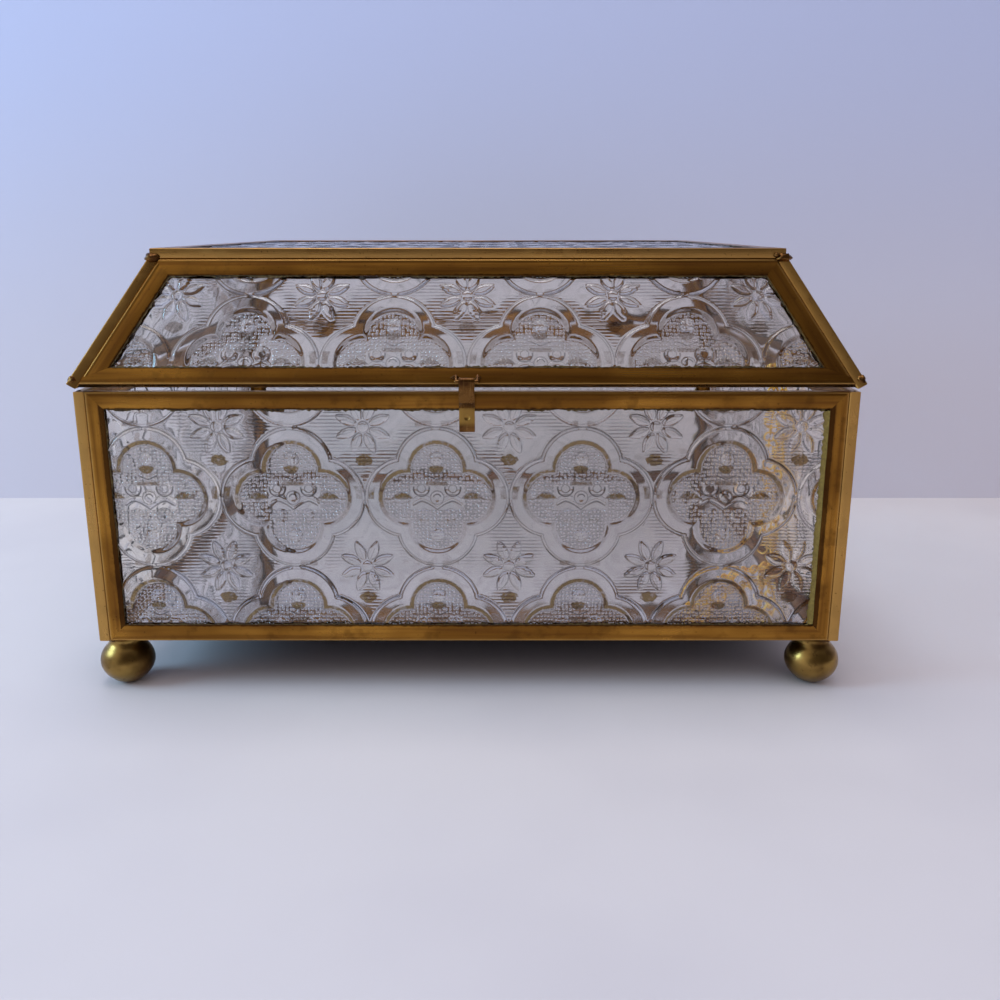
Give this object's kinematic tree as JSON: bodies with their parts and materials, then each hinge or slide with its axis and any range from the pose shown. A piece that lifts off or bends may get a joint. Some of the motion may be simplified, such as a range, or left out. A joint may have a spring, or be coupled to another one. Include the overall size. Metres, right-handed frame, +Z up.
{
  "type": "glass casket box",
  "caption": "Rectangular keepsake casket of patterned glass panes in brass channel, with a mirror floor, a hinged sloped lid on a stay chain, a hasp and ball feet.",
  "frame": {"origin": "on the surface that the feet stand on, under the middle of the box", "axes": "+X to the right along the front, -Y out of the front, +Z up"},
  "size_m": [0.209, 0.1913, 0.1195],
  "materials": {
    "patterned_glass": "clear pressed glass with a raised lattice of quatrefoils and florets",
    "mirror": "plain mirror",
    "aged_brass": "folded sheet channel, aged golden brown",
    "polished_brass": "turned and polished, slightly worn",
    "dark_brass": "dark tarnished sheet and wire"
  },
  "bodies": {
    "base": {"base_front_glass": "patterned_glass", "base_right_glass": "patterned_glass", "base_back_glass": "patterned_glass", "base_left_glass": "patterned_glass", "base_mirror": "mirror", "base_front_rails": "aged_brass", "base_right_rails": "aged_brass", "base_back_rails": "aged_brass", "base_left_rails": "aged_brass", "base_front_stiles": "aged_brass", "base_right_stiles": "aged_brass", "base_back_stiles": "aged_brass", "base_left_stiles": "aged_brass", "mirror_long_cames": "aged_brass", "mirror_short_cames": "aged_brass", "front_left_foot": "polished_brass", "front_right_foot": "polished_brass", "back_left_foot": "polished_brass", "back_right_foot": "polished_brass", "left_hinge_base_leaf": "dark_brass", "right_hinge_base_leaf": "dark_brass", "left_hinge_pin": "dark_brass", "right_hinge_pin": "dark_brass", "chain_base_post": "polished_brass"},
    "lid": {"lid_front_glass": "patterned_glass", "lid_right_glass": "patterned_glass", "lid_back_glass": "patterned_glass", "lid_left_glass": "patterned_glass", "lid_top_glass": "patterned_glass", "lid_front_rails": "aged_brass", "lid_right_rails": "aged_brass", "lid_back_rails": "aged_brass", "lid_left_rails": "aged_brass", "lid_front_stiles": "aged_brass", "lid_right_stiles": "aged_brass", "lid_back_stiles": "aged_brass", "lid_left_stiles": "aged_brass", "lid_top_long_cames": "aged_brass", "lid_top_short_cames": "aged_brass", "left_hinge_lid_leaf": "dark_brass", "right_hinge_lid_leaf": "dark_brass", "clasp_wire": "dark_brass", "chain_lid_post": "polished_brass"},
    "hasp": {"hasp": "dark_brass"},
    "chain_base_strand": {"chain_base_strand": "polished_brass"},
    "chain_lid_strand": {"chain_lid_strand": "polished_brass"},
    "chain_slack": {"chain_slack": "polished_brass"}
  },
  "joints": [
    {"name": "lid_hinge", "type": "hinge", "parent": "base", "child": "lid", "pos_m": [0, 0.0943, 0.08378], "axis": [-1, 0, 0], "range_deg": [0, 90]},
    {"name": "hasp_hinge", "type": "hinge", "parent": "lid", "child": "hasp", "pos_m": [0, -0.09455, 0.08646], "axis": [-1, 0, 0], "range_deg": [0, 120]},
    {"name": "chain_lid_end", "type": "hinge", "parent": "lid", "child": "chain_lid_strand", "pos_m": [0.097, -0.0395, 0.0868], "axis": [-1, 0, 0], "range_deg": [-47.54, 0]},
    {"name": "chain_slack_fold", "type": "hinge", "parent": "chain_lid_strand", "child": "chain_slack", "pos_m": [0.097, -0.0395, 0.019], "axis": [0.7771, -0.6293, 0], "range_deg": [0, 90.01]},
    {"name": "chain_base_end", "type": "hinge", "parent": "base", "child": "chain_base_strand", "pos_m": [0.097, -0.0275, 0.0812], "axis": [-1, 0, 0], "range_deg": [-137.54, 0]}
  ],
  "couplings": [
    {"joint": "chain_lid_end", "follows": "lid_hinge", "ratio": -0.52815},
    {"joint": "chain_slack_fold", "follows": "lid_hinge", "ratio": 1},
    {"joint": "chain_base_end", "follows": "lid_hinge", "ratio": -1.5281}
  ]
}
